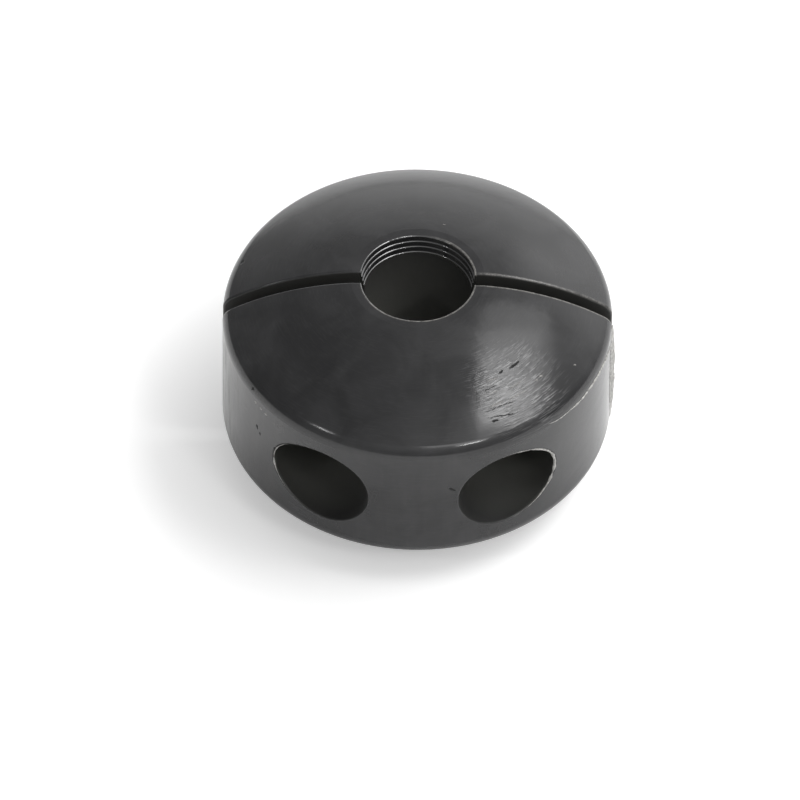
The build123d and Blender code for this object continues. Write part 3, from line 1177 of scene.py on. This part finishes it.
# %% One pitch of the thread
THREAD_PITCH = 1.0 * MM
THREAD_DEPTH = 0.613 * THREAD_PITCH
STEPS_PER_TURN = 32
washers_low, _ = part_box("flat_washers")
head_underside = washers_low.y
thread_crest = 3.0 * MM
thread_root = thread_crest - THREAD_DEPTH
PROFILE = (
    # (radius, place along one pitch): flat root, rising flank, flat crest, falling flank
    (thread_root, 0), (thread_root, 0.25), (thread_crest, 0.5625),
    (thread_crest, 0.6875), (thread_root, 1),
)
print("screws", round(screw_offset / MM, 2), "mm off the middle, heads end at",
      round(head_underside / MM, 2))


def close_cut(shape, place, outward):
    """Cuts a shape square to its axis, drops what lies beyond the cut, and caps it."""
    cut = bmesh.ops.bisect_plane(
        shape, geom=shape.verts[:] + shape.edges[:] + shape.faces[:], dist=1e-7,
        plane_co=place, plane_no=outward, clear_outer=True,
    )
    rim = [part for part in cut["geom_cut"] if isinstance(part, bmesh.types.BMEdge)]
    bmesh.ops.contextual_create(shape, geom=rim)


def threaded_rod(start, end, centre_x, centre_z):
    """A right-hand thread along +Y, capped at both ends."""
    shape = bmesh.new()
    turns = math.ceil((end - start) / THREAD_PITCH) + 1
    first = start - THREAD_PITCH
    profile = [
        shape.verts.new((centre_x + radius, first + along * THREAD_PITCH, centre_z))
        for radius, along in PROFILE
    ]
    edges = [shape.edges.new(pair) for pair in zip(profile, profile[1:])]
    bmesh.ops.spin(
        shape, geom=profile + edges, cent=(centre_x, 0, centre_z), axis=(0, 1, 0),
        dvec=(0, THREAD_PITCH / STEPS_PER_TURN, 0),
        angle=math.tau * turns, steps=STEPS_PER_TURN * turns,
    )
    bmesh.ops.remove_doubles(shape, verts=shape.verts[:], dist=1e-6)
    close_cut(shape, (0, start, 0), (0, -1, 0))
    close_cut(shape, (0, end, 0), (0, 1, 0))
    return shape

# %% [markdown]
# ## Heads and tips
# The heads are cut off the copy at their seats, and each rod starts a little inside its head, so
# that no slit is left between them.  The point of a screw is made before the thread is rolled, so
# towards the tip the crests are drawn in to a cone.

# %% Cut the heads free and join the rods
SCREW_TIP_CHAMFER = 0.8 * MM
ROD_IN_HEAD = 0.5 * MM


def chamfer_tip(shape, centre_x, centre_z, end):
    """Draws the crests in towards the tip, as the point of a rolled screw is."""
    for vertex in shape.verts:
        from_tip = end - vertex.co.y
        limit = thread_crest - SCREW_TIP_CHAMFER + from_tip
        radial = Vector((vertex.co.x - centre_x, vertex.co.z - centre_z))
        if radial.length > limit:
            radial *= limit / radial.length
            vertex.co.x, vertex.co.z = centre_x + radial.x, centre_z + radial.y


def threaded_screws(material):
    """Both screws as one piece, in place of the plain ones."""
    heads = bmesh.new()
    heads.from_mesh(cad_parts["clamp_screws"].data)
    bmesh.ops.remove_doubles(heads, verts=heads.verts[:], dist=1e-6)
    close_cut(heads, (0, head_underside, 0), (0, 1, 0))
    shapes = [heads]
    centre_z = (screws_low.z + screws_high.z) / 2
    for side in (-1, 1):
        start = head_underside - ROD_IN_HEAD
        rod = threaded_rod(start, screws_high.y, side * screw_offset, centre_z)
        chamfer_tip(rod, side * screw_offset, centre_z, screws_high.y)
        shapes.append(rod)
    screws = join_shapes("threaded_clamp_screws", shapes, material)
    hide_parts("clamp_screws")

# %% [markdown]
# ## Zinc-plated steel
# Screws, nuts and washers of this kind are bright zinc plated: a thin, slightly milky layer with
# a cool tint, which is smooth but not a mirror, and never quite even from one spot to the next.

# %% Zinc plating
ZINC, CLOUD_SIZE = "#C9CBCC", 1.5 * MM


def zinc_plating():
    """The material of screws, nuts and washers."""
    material, tree = new_material("bright zinc plated steel")
    place = add_node(tree, "ShaderNodeTexCoord").outputs["Object"]
    clouds = add_node(
        tree, "ShaderNodeTexNoise", Vector=place, Scale=1 / CLOUD_SIZE, Detail=3.0,
    )
    haze = add_node(
        tree, "ShaderNodeMapRange", Value=clouds.outputs["Fac"],
        From_Min=0.35, From_Max=0.65, To_Min=0.24, To_Max=0.4,
    )
    plating = add_node(
        tree, "ShaderNodeBsdfPrincipled", Base_Color=linear_colour(ZINC), Metallic=1.0,
        Roughness=haze.outputs["Result"],
    )
    add_node(tree, "ShaderNodeOutputMaterial", Surface=plating.outputs[0])
    return material


zinc = zinc_plating()
for name in ("flat_washers", "hex_nuts"):
    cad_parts[name].data.materials[0] = zinc
    print(name, "wears", zinc.name)
threaded_screws(zinc)
